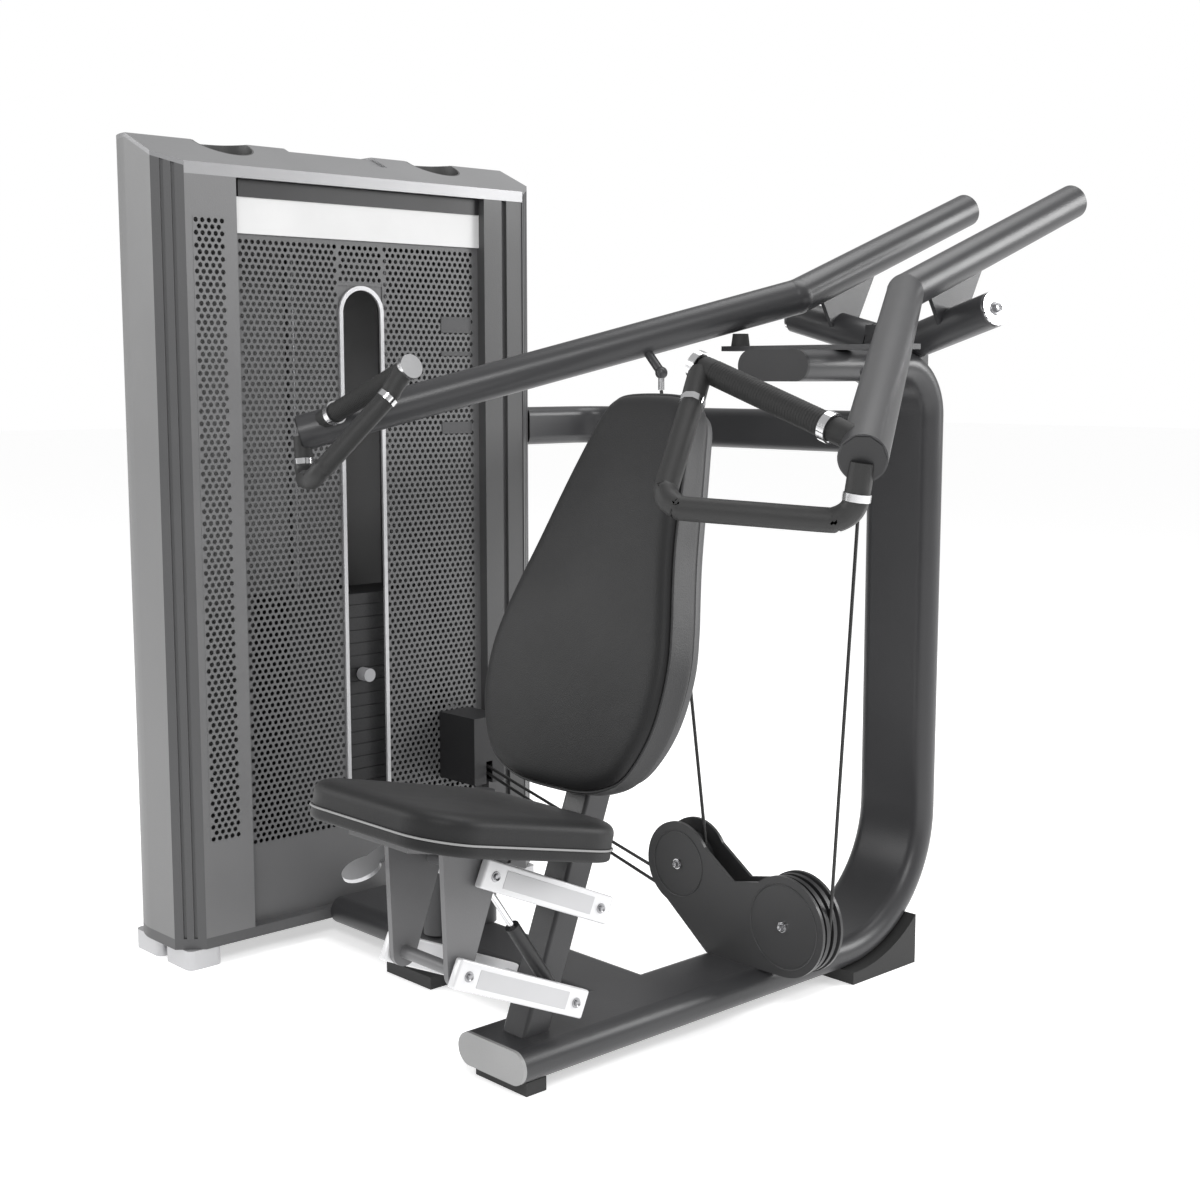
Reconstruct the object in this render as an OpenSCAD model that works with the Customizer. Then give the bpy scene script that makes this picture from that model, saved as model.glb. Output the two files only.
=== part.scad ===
/* [Weight tower] */
// Distance from the bench's centre plane to the tower's front
tower_gap = 773; // [740:1:800]
// Width of the tower along the bench
tower_w = 856; // [820:1:900]
// Depth of the tower from its front to the back of the shell
tower_depth = 235; // [225:1:260]
// Middle of the tower along the bench
tower_mid_y = -498; // [-510:1:-490]
// Height of the cap's flat rear part
tower_h = 1498; // [1470:1:1530]
// Underside of the tower's base above the floor
tower_low = 36; // [30:1:45]
// Sheet thickness of the tower's panels
sheet = 3; // [2:0.5:4]
// Setback of the perforated front behind the columns
front_setback = 22; // [16:1:28]
// Width of each front corner's chamfer along the front
chamfer_y = 44; // [36:1:50]
// Depth of each front corner's chamfer
chamfer_x = 37; // [30:1:44]
// Radius of the shell's rear corners
shell_r = 110; // [90:1:120]
// Width of the near column's face
near_column_w = 103; // [90:1:110]
// Width of the far column's face
far_column_w = 100; // [90:1:110]
// Diameter of the cup recesses in the cap
cup_d = 116; // [90:1:120]
// Depth of the cup recesses
cup_depth = 58; // [45:1:62]
// Width of the slot in front of the stack
slot_w = 86; // [76:1:96]
// Top of the slot's arch
slot_top = 1235; // [1150:1:1260]
// Bottom of the slot
slot_low = 230; // [200:1:260]

/* [Weight stack] */
// Width of a weight plate
plate_w = 330; // [300:1:350]
// Depth of a weight plate
plate_depth = 120; // [100:1:124]
// Pitch of the plates
plate_pitch = 25; // [22:0.5:26]
// Plates that stay down
plates_down = 16; // [12:1:16]
// Plates that the pin lifts
plates_up = 6; // [3:1:8]
// Diameter of the guide rods
guide_d = 20; // [18:0.5:25]
// Spacing of the guide rods
guide_spacing = 216; // [190:1:230]

/* [Main frame] */
// Long side of the flat-oval tube
oval_w = 156; // [146:1:170]
// Short side of the flat-oval tube
oval_h = 53; // [48:1:58]
// Wall of the frame tubes
wall = 3; // [2:0.5:4]
// Underside of the base tube above the floor
base_low = 22; // [20:1:28]
// Front end of the base tube, ahead of the rear foot's middle
base_reach = 851; // [840:1:880]
// Centre-line radius of the lower bend
low_bend_r = 230; // [200:5:240]
// Centre-line radius of the top bend
top_bend_r = 90; // [80:1:95]
// Column's centre line behind the rear foot's middle
column_y = 145; // [140:1:150]
// Top arm's centre line above the floor
top_arm_z = 1092; // [1088:1:1096]
// Front end of the top arm, ahead of the rear foot's middle
top_arm_reach = 226; // [215:1:240]
// Middle of the lower beam along the bench
beam_y = -533; // [-545:1:-520]
// Distance of the middle post from the centre plane
post_x = 470; // [450:1:500]
// Height of the middle post
post_top = 320; // [280:1:330]
// Middle of the upper beam's height
upper_beam_z = 970; // [950:1:985]
// Height of the upper beam's section
upper_beam_h = 78; // [70:1:84]

/* [Seat and back] */
// Where the slanted post meets the base tube, ahead of the rear foot
seat_post_y = 780; // [775:1:790]
// Backward lean of the slanted post in degrees
lean = 20.5; // [19:0.5:21]
// Width of the slanted post
seat_post_w = 53; // [48:1:56]
// Depth of the slanted post
seat_post_depth = 50; // [46:1:50]
// Length of the slanted post
seat_post_len = 880; // [860:1:900]
// Lower pivot's place along the post
pivot_low_u = 66; // [60:1:70]
// Upper pivot's place along the post
pivot_high_u = 211.5; // [200:0.5:220]
// Pivot distance of the seat links
link_len = 225; // [215:1:235]
// Rise of the links to the front, in degrees
link_rise = 23.8; // [22:0.1:26]
// Inner face of the link covers from the centre plane
link_in = 74; // [72:1:80]
// Thickness of a link cover
link_t = 16; // [12:1:18]
// Height of a link cover
link_h = 44; // [36:1:46]
// Width of the seat pad
seat_w = 345; // [320:1:370]
// Length of the seat pad
seat_len = 380; // [360:1:384]
// Thickness of the seat pad
seat_t = 62; // [55:1:65]
// Upward tilt of the seat's front, in degrees
seat_tilt = 12.5; // [10:0.5:13]
// Height of the back pad's outline
back_len = 622; // [600:1:640]
// Thickness of the back pad at its ends
back_t = 55; // [45:1:60]
// Extra thickness in the middle of the back pad
back_crown = 20; // [10:1:24]
// Thickness of the shell behind the back pad
back_shell_t = 20; // [14:1:24]
// Back pad's lower edge, along the post
back_low_u = 382; // [378:1:390]

/* [Press arms] */
// Diameter of the arm tubes
arm_d = 63; // [57:1:64]
// Diameter of the pivot hubs
hub_d = 62; // [58:1:66]
// Length of the pivot hubs
hub_len = 172; // [160:1:180]
// Diameter of the pivot shafts
shaft_d = 34; // [30:1:38]
// Diameter of the handle bar
bar_d = 33; // [28:1:34]
// Diameter of the straight grip
grip_d = 36; // [34:1:38]

/* [Cable path] */
// Diameter of the cables
cable_d = 6; // [5:0.5:7]
// Cable radius on the small pulley
small_r = 48; // [44:1:50]
// Cable radius on the large pulley
large_r = 78; // [74:1:78]
// Width of both pulleys
pulley_w = 26; // [20:1:30]
// Clear width between the pulley plates
pulley_gap = 40; // [36:1:44]
// Thickness of the pulley plates
pulley_plate_t = 6; // [4:1:8]

/* [Fits] */
// Radial clearance of the running fits
run_fit = 0.08; // [0.05:0.01:0.1]
// Clearance of the open pivots
open_fit = 1.5; // [1:0.1:3]
// Radial clearance of cables, rods and plates that slide past each other
slide_fit = 0.5; // [0.3:0.1:1]

/* [Hidden] */
$fn = 64;

far = 3000;
front_x = -tower_gap;
rear_x = front_x - tower_depth;
half_w = tower_w / 2;
base_top = tower_low + 20;
panel_x = front_x - front_setback;
cap_slope = 0.45;
cap_flat_x = front_x - 122;
cap_front_z = tower_h - cap_slope * (front_x - cap_flat_x);
cap_t = 8;
lip_low = cap_front_z - 21;
near_y = tower_mid_y - half_w;
far_y = tower_mid_y + half_w;
near_inner = near_y + chamfer_y + near_column_w;
far_inner = far_y - chamfer_y - far_column_w;
placard_low = lip_low - 95;
placard_top = lip_low - 31;
crown_z = placard_top;
stack_x = front_x - 100;
stack_y = tower_mid_y - 3;
cushion_h = 28;
stack_low = base_top + cushion_h;
pin_z = stack_low + plate_pitch * (plates_down + 0.5);
lift_low = stack_low + plate_pitch * plates_down;
lift_top = lift_low + plate_pitch * plates_up + 20;
selector_d = 24;
pin_d = 9.5;
cup_y = 240;
cup_x = front_x - 113;

base_z = base_low + oval_h / 2;
base_tube_top = base_low + oval_h;
low_bend_y = column_y - low_bend_r;
low_bend_z = base_z + low_bend_r;
top_bend_y = column_y - top_bend_r;
top_bend_z = top_arm_z - top_bend_r;
end_cap_t = 6;
beam_bend_r = 80;
beam_start_x = front_x - 57;

function post_point(u, n) = [
    -seat_post_y + u * sin(lean) - n * cos(lean),
    base_tube_top + u * cos(lean) + n * sin(lean)
];
low_pivot = post_point(pivot_low_u, 0);
high_pivot = post_point(pivot_high_u, 0);
link_step = link_len * [-cos(link_rise), sin(link_rise)];
low_front = low_pivot + link_step;
high_front = high_pivot + link_step;
axle_r = 12;
carrier_axle_r = 10;
carrier_in = 60;
carrier_out = 70;
strut_x = 45;
strut_t = 14;
strut_span = high_front - low_pivot;
strut_len = norm(strut_span);
strut_angle = atan2(strut_span[1], strut_span[0]);
seat_mid = [-898, 431];
seat_board_t = 12;
lever_pivot = [-108, -2, -seat_t / 2 - 7.2];
lever_shaft_r = 4;
lever_barrel_r = 6.5;

hub_in = [56, 114, 1141];
hub_dir = [0.954, -0.134, 0.268] / norm([0.954, -0.134, 0.268]);
hub_cap_t = 6;
arm_bend = [120, -23, 1216];
stub_end = [120, 485, 1400];
arm_front = [617, -760, 975];
grip_inner = [330, -742, 1086];
grip_outer = [600, -735, 992];
handle_route = [
    [614, -757, 970], [608, -759, 927], [606, -761, 917], [601, -763, 909], [594, -767, 903],
    [586, -772, 899], [577, -777, 898], [422, -868, 908], [412, -873, 910], [403, -874, 914],
    [394, -874, 920], [387, -870, 928], [382, -864, 935], [341, -775, 1040], [337, -764, 1058],
    [331, -748, 1082]
];
cable_lug = [228, -261, 1080];
bead = 1;
rod_end_z = 1050;

pulley_y = -286;
small_c = [-130, 220];
large_c = [115, 162];
pulley_axle_r = 6;
small_slope = 0.23;
large_slope = 0.253;
drum_r = 45;
drum_x = panel_x - sheet - drum_r - 18;
drum_z = 385;
top_pulley_z = 1330;
cable_r = cable_d / 2;

function unit(v) = v / norm(v);

// ---- shared shapes ----

// A drawing in Y and Z, pushed along +X
module side_plane() rotate([90, 0, 90]) children();

// A drawing in X and Z, pushed along -Y
module front_plane() rotate([90, 0, 0]) children();

module rod(a, b, d) {
    v = b - a;
    translate(a)
        rotate([0, acos(v[2] / norm(v)), atan2(v[1], v[0])])
            cylinder(h = norm(v), d = d);
}

module pin_x(c, r, x0, x1) translate([x0, c[0], c[1]]) rotate([0, 90, 0]) cylinder(h = x1 - x0, r = r);

module pin_y(c, r, y0, y1) translate([c[0], y1, c[1]]) rotate([90, 0, 0]) cylinder(h = y1 - y0, r = r);

module block(low, high) translate(low) cube(high - low);

module rounded(w, h, r) {
    square([w - 2 * r, h], center = true);
    square([w, h - 2 * r], center = true);
    for (sx = [-1, 1], sy = [-1, 1]) translate([sx * (w / 2 - r), sy * (h / 2 - r)]) circle(r = r);
}

module oval(w, h) {
    square([w - h, h], center = true);
    for (s = [-1, 1]) translate([s * (w - h) / 2, 0]) circle(d = h);
}

// Solid tube along a list of points, for bars whose route stays clear of the Y direction
module swept_bar(points, r, sides = 12) {
    n = len(points);
    rings = [
        for (i = [0 : n - 1])
            let (
                t = unit(points[min(i + 1, n - 1)] - points[max(i - 1, 0)]),
                b = unit(cross(t, [0, 1, 0])),
                k = cross(b, t)
            )
            for (j = [0 : sides - 1])
                points[i] + r * (cos(360 * j / sides) * k + sin(360 * j / sides) * b)
    ];
    walls = [
        for (i = [0 : n - 2], j = [0 : sides - 1])
            let (a = i * sides + j, c = i * sides + (j + 1) % sides)
            each [[a, c, c + sides], [a, c + sides, a + sides]]
    ];
    ends = [[for (j = [sides - 1 : -1 : 0]) j], [for (j = [0 : sides - 1]) (n - 1) * sides + j]];
    polyhedron(rings, concat(walls, ends));
}

// ---- weight tower ----

// Outline of the tower seen from above, moved in by i on every side
module tower_plan(i = 0) {
    turn = atan2(chamfer_x, chamfer_y);
    front_y = half_w - chamfer_y - i * tan(turn / 2);
    end_x = front_x - chamfer_x - i * tan(45 - turn / 2);
    round_x = rear_x + shell_r;
    translate([0, tower_mid_y]) {
        polygon([
            [round_x, -(half_w - i)], [end_x, -(half_w - i)], [front_x - i, -front_y],
            [front_x - i, front_y], [end_x, half_w - i], [round_x, half_w - i]
        ]);
        translate([rear_x + i, -(half_w - shell_r)]) square([shell_r - i + 1, 2 * (half_w - shell_r)]);
        for (s = [-1, 1]) translate([round_x, s * (half_w - shell_r)]) circle(r = shell_r - i);
    }
}

// The room below the cap's upper face, lowered by drop
module under_cap(drop) {
    translate([0, far_y + 10, 0])
        front_plane()
            linear_extrude(tower_w + 20)
                polygon([
                    [rear_x - 10, 0], [front_x + 10, 0], [front_x + 10, cap_front_z - 10 * cap_slope - drop],
                    [cap_flat_x, tower_h - drop], [rear_x - 10, tower_h - drop]
                ]);
}

module tower_base() color("dimgray") translate([0, 0, tower_low]) linear_extrude(20) tower_plan();

module tower_feet() color("silver")
    for (y = [near_y + 45, far_y - 45], x = [front_x - 50, rear_x + 75])
        translate([x, y, 0]) linear_extrude(tower_low) rounded(90, 70, 14);

// Plate that joins the panels under the cap and carries the inner pulleys
module tower_crown() color("dimgray")
    translate([0, 0, crown_z])
        linear_extrude(6)
            intersection() {
                tower_plan(sheet);
                translate([front_x - chamfer_x - far, -far]) square([far, 2 * far]);
            }

module cap_holes() {
    for (s = [-1, 1])
        translate([cup_x, tower_mid_y + s * cup_y, tower_h - 40]) cylinder(h = 80, d = cup_d);
}

module tower_cap() color("silver") {
    difference() {
        intersection() {
            translate([0, 0, lip_low]) linear_extrude(far) tower_plan();
            under_cap(0);
        }
        intersection() {
            translate([0, 0, lip_low - 1]) linear_extrude(far) tower_plan();
            difference() {
                under_cap(cap_t);
                block([front_x - 8, near_y + chamfer_y, 0], [front_x + 50, far_y - chamfer_y, far]);
            }
        }
        cap_holes();
        difference() {
            block([cup_x - 45, tower_mid_y - 100, 1000], [cup_x + 45, tower_mid_y + 100, far]);
            under_cap(5);
        }
    }
}

module cup_holders() color("darkgray")
    for (s = [-1, 1])
        translate([cup_x, tower_mid_y + s * cup_y, 0])
            difference() {
                translate([0, 0, tower_h - cup_depth]) cylinder(h = cup_depth - 1, d = cup_d);
                translate([0, 0, tower_h - cup_depth + sheet]) cylinder(h = cup_depth, d = cup_d - 2 * sheet);
                translate([-cup_x, -tower_mid_y - s * cup_y, 0])
                    difference() {
                        block([cup_x - 100, -far, 1000], [cup_x + 100, far, far]);
                        under_cap(0);
                    }
            }

module end_panels() color("gray")
    intersection() {
        for (y = [near_y, far_y - sheet])
            block([rear_x + shell_r, y, base_top], [front_x - chamfer_x, y + sheet, far]);
        under_cap(cap_t);
    }

// One front corner: a grooved extrusion along the chamfer
module corner_post() {
    face = norm([chamfer_x, chamfer_y]);
    intersection() {
        translate([front_x, near_y + chamfer_y, base_top])
            rotate(180 + atan2(chamfer_y, chamfer_x))
                linear_extrude(tower_h - base_top)
                    difference() {
                        translate([0, -9]) square([face, 9]);
                        for (k = [1, 2]) translate([face * k / 3 - 3, -4]) square([6, 5]);
                    }
        block([front_x - chamfer_x, near_y, 0], [front_x, near_y + chamfer_y, far]);
        under_cap(cap_t);
    }
}

module corner_posts() color("#4a4a4a") {
    corner_post();
    translate([0, 2 * tower_mid_y, 0]) mirror([0, 1, 0]) corner_post();
}

// Folded face of the near column: the front sheet and its return to the setback
module near_column() color("#777777") {
    block([front_x - sheet, near_y + chamfer_y, base_top], [front_x, near_inner, lip_low]);
    block([panel_x - sheet, near_inner - sheet, base_top], [front_x, near_inner, lip_low]);
}

// Folded face of the far column, with a sunk groove and a raised strip
module far_column() color("#777777") {
    groove_y = far_inner + 45;
    strip_y = groove_y + 13;
    edge_y = strip_y + 25;
    block([panel_x - sheet, far_inner, base_top], [front_x, far_inner + sheet, lip_low]);
    block([front_x - sheet, far_inner, base_top], [front_x, groove_y, lip_low]);
    block([front_x - 10, groove_y - sheet, base_top], [front_x - 7, strip_y + sheet, lip_low]);
    block([front_x - 10, groove_y - sheet, base_top], [front_x, groove_y, lip_low]);
    block([front_x - 10, strip_y, base_top], [front_x, strip_y + sheet, lip_low]);
    block([front_x - sheet, strip_y, base_top], [front_x, edge_y, lip_low]);
    block([front_x - 2 * sheet, edge_y - sheet, base_top], [front_x - 2, far_y - chamfer_y, lip_low]);
}

module rear_shell() color("gray")
    intersection() {
        translate([0, 0, base_top])
            linear_extrude(tower_h)
                difference() {
                    tower_plan();
                    tower_plan(sheet);
                }
        block([rear_x - 10, -far, 0], [rear_x + shell_r, far, far]);
        under_cap(cap_t);
    }

module slot_shape(grow = 0) {
    w = slot_w + 2 * grow;
    translate([stack_y - w / 2, slot_low]) square([w, slot_top + grow - w / 2 - slot_low]);
    translate([stack_y, slot_top + grow - w / 2]) circle(d = w);
}

module front_panel() color("#5a5a5a")
    translate([panel_x - sheet, 0, 0])
        side_plane()
            linear_extrude(sheet)
                difference() {
                    translate([near_inner, base_top]) square([far_inner - near_inner, lip_low - base_top]);
                    slot_shape();
                    translate([pulley_y - 12, 295]) square([24, 45]);
                }

module slot_trim() color("silver")
    translate([panel_x, 0, 0])
        side_plane()
            linear_extrude(5)
                difference() {
                    slot_shape(8);
                    slot_shape();
                }

module placard() color("white")
    block([panel_x, near_inner, placard_low], [panel_x + 5, far_inner, placard_top]);

module header_strip() color("#333333")
    block([panel_x, near_inner + 13, placard_top], [panel_x + 7, far_inner - 2, lip_low]);

module label_plates() color("#3a3a3a")
    for (band = [[1159, 31], [1114, 8], [960, 23]])
        block([panel_x, far_inner - 95, band[0]], [panel_x + 2, far_inner - 20, band[0] + band[1]]);

module guide_rods() color("silver")
    for (s = [-1, 1])
        translate([stack_x, stack_y + s * guide_spacing / 2, base_top])
            cylinder(h = crown_z - base_top, d = guide_d);

module stack_cushions() color("#222222")
    for (s = [-1, 1])
        translate([stack_x, stack_y + s * guide_spacing / 2, base_top])
            difference() {
                cylinder(h = cushion_h, d = guide_d + 36);
                translate([0, 0, -1]) cylinder(h = cushion_h + 2, d = guide_d + 2 * slide_fit);
            }

// A pile of plates with a groove at each joint
module plate_pile(count) {
    groove = 2;
    for (k = [0 : count - 1]) translate([0, 0, k * plate_pitch]) {
        translate([-plate_depth / 2, -plate_w / 2, 0]) cube([plate_depth, plate_w, plate_pitch - groove]);
        translate([-plate_depth / 2 + groove, -plate_w / 2 + groove, 0])
            cube([plate_depth - 2 * groove, plate_w - 2 * groove, plate_pitch]);
    }
}

module guide_holes(h) {
    for (s = [-1, 1])
        translate([0, s * guide_spacing / 2, -1]) cylinder(h = h + 2, d = guide_d + 2 * slide_fit);
}

module lower_plates() color("#1c1c1c")
    translate([stack_x, stack_y, stack_low])
        difference() {
            plate_pile(plates_down);
            guide_holes(far);
            translate([0, 0, -1]) cylinder(h = far, d = selector_d + 2);
        }

module lifted_plates() color("#262626") {
    pile_h = lift_top - lift_low;
    translate([stack_x, stack_y, lift_low + slide_fit])
        difference() {
            union() {
                plate_pile(plates_up);
                translate([-plate_depth / 2, -plate_w / 2, pile_h - 20]) cube([plate_depth, plate_w, 20]);
                translate([0, 0, stack_low - lift_low + 10]) cylinder(h = lift_low - stack_low, d = selector_d);
                translate([0, 0, pile_h]) cylinder(h = 36, d = 22);
            }
            guide_holes(pile_h);
            translate([0, 0, pin_z - lift_low])
                rotate([0, 90, 0]) cylinder(h = plate_depth, d = pin_d + 2 * slide_fit);
        }
}

module selector_pin() color("red")
    translate([stack_x, stack_y, pin_z + slide_fit])
        rotate([0, 90, 0]) {
            translate([0, 0, selector_d / 2 + 2]) cylinder(h = plate_depth / 2, d = pin_d);
            translate([0, 0, plate_depth / 2 + 3]) cylinder(h = 26, d = 26);
        }

module sheave(r, w, bore, play = slide_fit) rotate_extrude() difference() {
    translate([bore, -w / 2]) square([r + 6 - bore, w]);
    translate([r, 0]) circle(r = cable_r + play);
    translate([r, -cable_r - play]) square([20, 2 * (cable_r + play)]);
    for (s = [-1, 1]) translate([(r + bore) / 2, s * (w / 2)]) square([r - bore - 22, 8], center = true);
}

module tower_pulleys() color("#1a1a1a") {
    for (y = [stack_y + drum_r, pulley_y - drum_r])
        translate([stack_x, y, top_pulley_z]) rotate([0, 90, 0]) sheave(drum_r, 20, 6);
    translate([drum_x, pulley_y, drum_z]) rotate([90, 0, 0]) sheave(drum_r + 10, 20, 6);
    for (y = [stack_y + drum_r, pulley_y - drum_r]) for (s = [-1, 1])
        block([stack_x + s * 14 - 3, y - 12, top_pulley_z - 14], [stack_x + s * 14 + 3, y + 12, crown_z]);
    for (y = [stack_y + drum_r, pulley_y - drum_r])
        pin_x([y, top_pulley_z], 6, stack_x - 17, stack_x + 17);
    pin_y([drum_x, drum_z], 6, pulley_y - 20, pulley_y + 20);
    for (s = [-1, 1])
        block([drum_x - 10, pulley_y + s * 17 - 3, base_top], [drum_x + 10, pulley_y + s * 17 + 3, drum_z + 12]);
}

module entry_box() color("#141414") {
    low = [panel_x, pulley_y - 38, 265];
    high = [front_x + 90, pulley_y + 38, 400];
    difference() {
        block(low, high);
        block([low[0] - 1, low[1] + 5, low[2] + 5], [high[0] - 5, high[1] - 5, high[2] - 5]);
        block([low[0], pulley_y - 8, low[2] - 5], [high[0] + 5, pulley_y + 8, low[2] + 45]);
    }
}

// ---- main frame ----

module frame_path(w, h, extra = 0) {
    translate([0, -base_reach + end_cap_t - extra, base_z])
        rotate([-90, 0, 0]) linear_extrude(base_reach - end_cap_t + low_bend_y + extra) oval(w, h);
    translate([0, low_bend_y, low_bend_z])
        rotate([90, 0, 90]) rotate([0, 0, -90])
            rotate_extrude(angle = 90) translate([low_bend_r, 0]) rotate(90) oval(w, h);
    translate([0, column_y, low_bend_z]) linear_extrude(top_bend_z - low_bend_z) oval(w, h);
    translate([0, top_bend_y, top_bend_z])
        rotate([90, 0, 90]) rotate_extrude(angle = 90) translate([top_bend_r, 0]) rotate(90) oval(w, h);
    translate([0, -top_arm_reach + end_cap_t - extra, top_arm_z])
        rotate([-90, 0, 0]) linear_extrude(top_arm_reach - end_cap_t + top_bend_y + extra) oval(w, h);
}

module main_frame() color("#3b3b3b")
    difference() {
        frame_path(oval_w, oval_h);
        frame_path(oval_w - 2 * wall, oval_h - 2 * wall, 1);
    }

module base_end_cap() color("#999999")
    translate([0, -base_reach, base_z])
        rotate([-90, 0, 0]) linear_extrude(end_cap_t) oval(oval_w, oval_h);

module top_end_cap() color("#222222")
    translate([0, -top_arm_reach, top_arm_z])
        rotate([-90, 0, 0]) linear_extrude(end_cap_t) oval(oval_w, oval_h);

// Beam from the tower's base to the base tube
module lower_beam() color("#3b3b3b")
    difference() {
        translate([front_x, beam_y, base_z])
            rotate([90, 0, 90]) linear_extrude(tower_gap - oval_w / 2 + oval_h / 2) oval(oval_w, oval_h);
        translate([front_x - 1, beam_y, base_z])
            rotate([90, 0, 90]) linear_extrude(tower_gap) oval(oval_w - 2 * wall, oval_h - 2 * wall);
        frame_path(oval_w, oval_h);
    }

module middle_post() color("#3b3b3b")
    translate([-post_x, beam_y, base_tube_top])
        difference() {
            linear_extrude(post_top - base_tube_top) rotate(90) oval(oval_w, oval_h);
            translate([0, 0, -1])
                linear_extrude(post_top - base_tube_top - 4) rotate(90) oval(oval_w - 2 * wall, oval_h - 2 * wall);
        }

module beam_section(w, h) rounded(w, h, 18 - (oval_h - w) / 2);

// Bent beam from the tower's far end to the column
module upper_beam_path(w, h) {
    turn_y = column_y - beam_bend_r;
    translate([beam_start_x, far_y, upper_beam_z])
        rotate([-90, 0, 0]) linear_extrude(turn_y - far_y) beam_section(w, h);
    translate([beam_start_x + beam_bend_r, turn_y, upper_beam_z])
        rotate(90) rotate_extrude(angle = 90) translate([beam_bend_r, 0]) beam_section(w, h);
    translate([beam_start_x + beam_bend_r, column_y, upper_beam_z])
        rotate([90, 0, 90]) linear_extrude(-beam_start_x - beam_bend_r - oval_w / 2 + oval_h / 2) beam_section(w, h);
}

module upper_beam() color("#3b3b3b")
    difference() {
        upper_beam_path(oval_h, upper_beam_h);
        upper_beam_path(oval_h - 2 * wall, upper_beam_h - 2 * wall);
        frame_path(oval_w, oval_h);
    }

module rear_foot() color("#2e2e2e")
    difference() {
        block([-90, -90, 0], [90, 90, 91]);
        pin_x([low_bend_y, low_bend_z], low_bend_r + oval_h / 2, -100, 100);
        block([-100, -100, base_low], [100, low_bend_y, 200]);
    }

module frame_feet() color("#2e2e2e") {
    block([-60, -base_reach + 20, 0], [60, -base_reach + 60, base_low]);
    block([-post_x - 65, beam_y - 120, 0], [-post_x + 65, beam_y + 103, base_low]);
}

// ---- seat post, links and seat ----

// Frame whose Z runs up the slanted post and whose -Y looks forward
module on_post() translate([0, -seat_post_y, base_tube_top]) rotate([-lean, 0, 0]) children();

module seat_post() color("#3b3b3b")
    difference() {
        on_post() translate([0, 0, -30]) linear_extrude(seat_post_len + 30) rounded(seat_post_w, seat_post_depth, 6);
        on_post()
            translate([0, 0, -31])
                linear_extrude(seat_post_len + 28) rounded(seat_post_w - 2 * wall, seat_post_depth - 2 * wall, 3);
        block([-far, -far, -far], [far, far, base_tube_top]);
        for (p = [low_pivot, high_pivot]) pin_x(p, axle_r + run_fit, -50, 50);
    }

// Outline of the back pad, moved in by i at each side
module back_outline(i = 0) {
    right = [
        [110, 0], [150, 22], [190, 100], [196, 180], [180, 270], [150, 370], [122, 490], [98, 590],
        [84, 614], [62, back_len]
    ];
    polygon(concat(
        [for (p = right) [p[0] - i, p[1]]],
        [for (k = [len(right) - 1 : -1 : 0]) [i - right[k][0], right[k][1]]]
    ));
}

module pad_shell() color("#555555")
    on_post()
        translate([0, -seat_post_depth / 2, back_low_u])
            front_plane() linear_extrude(back_shell_t) back_outline(5);

module back_pad() color("#363636") {
    bow = back_len / 2;
    bow_r = (bow * bow + back_crown * back_crown) / (2 * back_crown);
    front_n = seat_post_depth / 2 + back_shell_t + back_t + back_crown;
    on_post()
        intersection() {
            translate([0, -seat_post_depth / 2 - back_shell_t, back_low_u])
                front_plane() linear_extrude(back_t + back_crown) back_outline();
            pin_x([bow_r - front_n, back_low_u + bow], bow_r, -far, far, $fn = 720);
        }
}

module pad_brackets() color("#2e2e2e")
    on_post()
        for (u = [back_low_u + 100, back_low_u + 430], s = [-1, 1]) {
            translate([s * (seat_post_w / 2 + 2.5), 0, u + 30]) cube([5, seat_post_depth - 6, 60], center = true);
            translate([s * (seat_post_w / 2 + 18), 2.5 - seat_post_depth / 2, u + 30])
                cube([36, 5, 60], center = true);
        }

// One link cover on both sides, drawn from its rear pivot
module link_covers(rear) {
    for (x = [link_in, -link_in - link_t])
        translate([x, rear[0], rear[1]])
            side_plane()
                rotate(180 - link_rise)
                    translate([link_len / 2, 0])
                        linear_extrude(link_t) rounded(link_len + link_h, link_h, 8);
}

module upper_links() color("#d0d0d0")
    difference() {
        union() {
            link_covers(high_pivot);
            pin_x(high_pivot, axle_r, -link_in, link_in);
        }
        pin_x(high_front, carrier_axle_r + run_fit, -far, far);
    }

module lower_links() color("#d0d0d0")
    difference() {
        union() {
            link_covers(low_pivot);
            pin_x(low_pivot, axle_r, -link_in, link_in);
        }
        pin_x(low_front, carrier_axle_r + open_fit, -far, far);
    }

// Frame of the seat pad, tilted up at the front
module on_seat() translate([0, seat_mid[0], seat_mid[1]]) rotate([-seat_tilt, 0, 0]) children();

module seat_carrier() color("#8a8a8a") {
    board_low = -seat_t / 2 - seat_board_t;
    for (x = [carrier_in, -carrier_out])
        difference() {
            translate([x, 0, 0])
                side_plane()
                    linear_extrude(carrier_out - carrier_in) {
                        for (p = [low_front, high_front]) translate(p) circle(r = 22);
                        polygon([
                            low_front + [-22, 0], low_front + [22, 0], high_front + [22, 0],
                            high_front + [48, 17], high_front + [-80, 45]
                        ]);
                    }
            on_seat() translate([-200, -300, board_low]) cube([400, 600, 100]);
        }
    on_seat() translate([-carrier_out, -150, board_low]) cube([2 * carrier_out, 300, seat_board_t]);
    for (p = [low_front, high_front]) pin_x(p, carrier_axle_r, -link_in - link_t + 2, link_in + link_t - 2);
    on_seat()
        translate([-carrier_out + 10, lever_pivot[1], lever_pivot[2]])
            rotate([0, -90, 0]) cylinder(h = -lever_pivot[0] - carrier_out + 30, r = lever_shaft_r);
}

module seat_pad() color("#363636")
    on_seat() translate([0, 0, -seat_t / 2]) linear_extrude(seat_t) rounded(seat_w, seat_len, 80);

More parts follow.
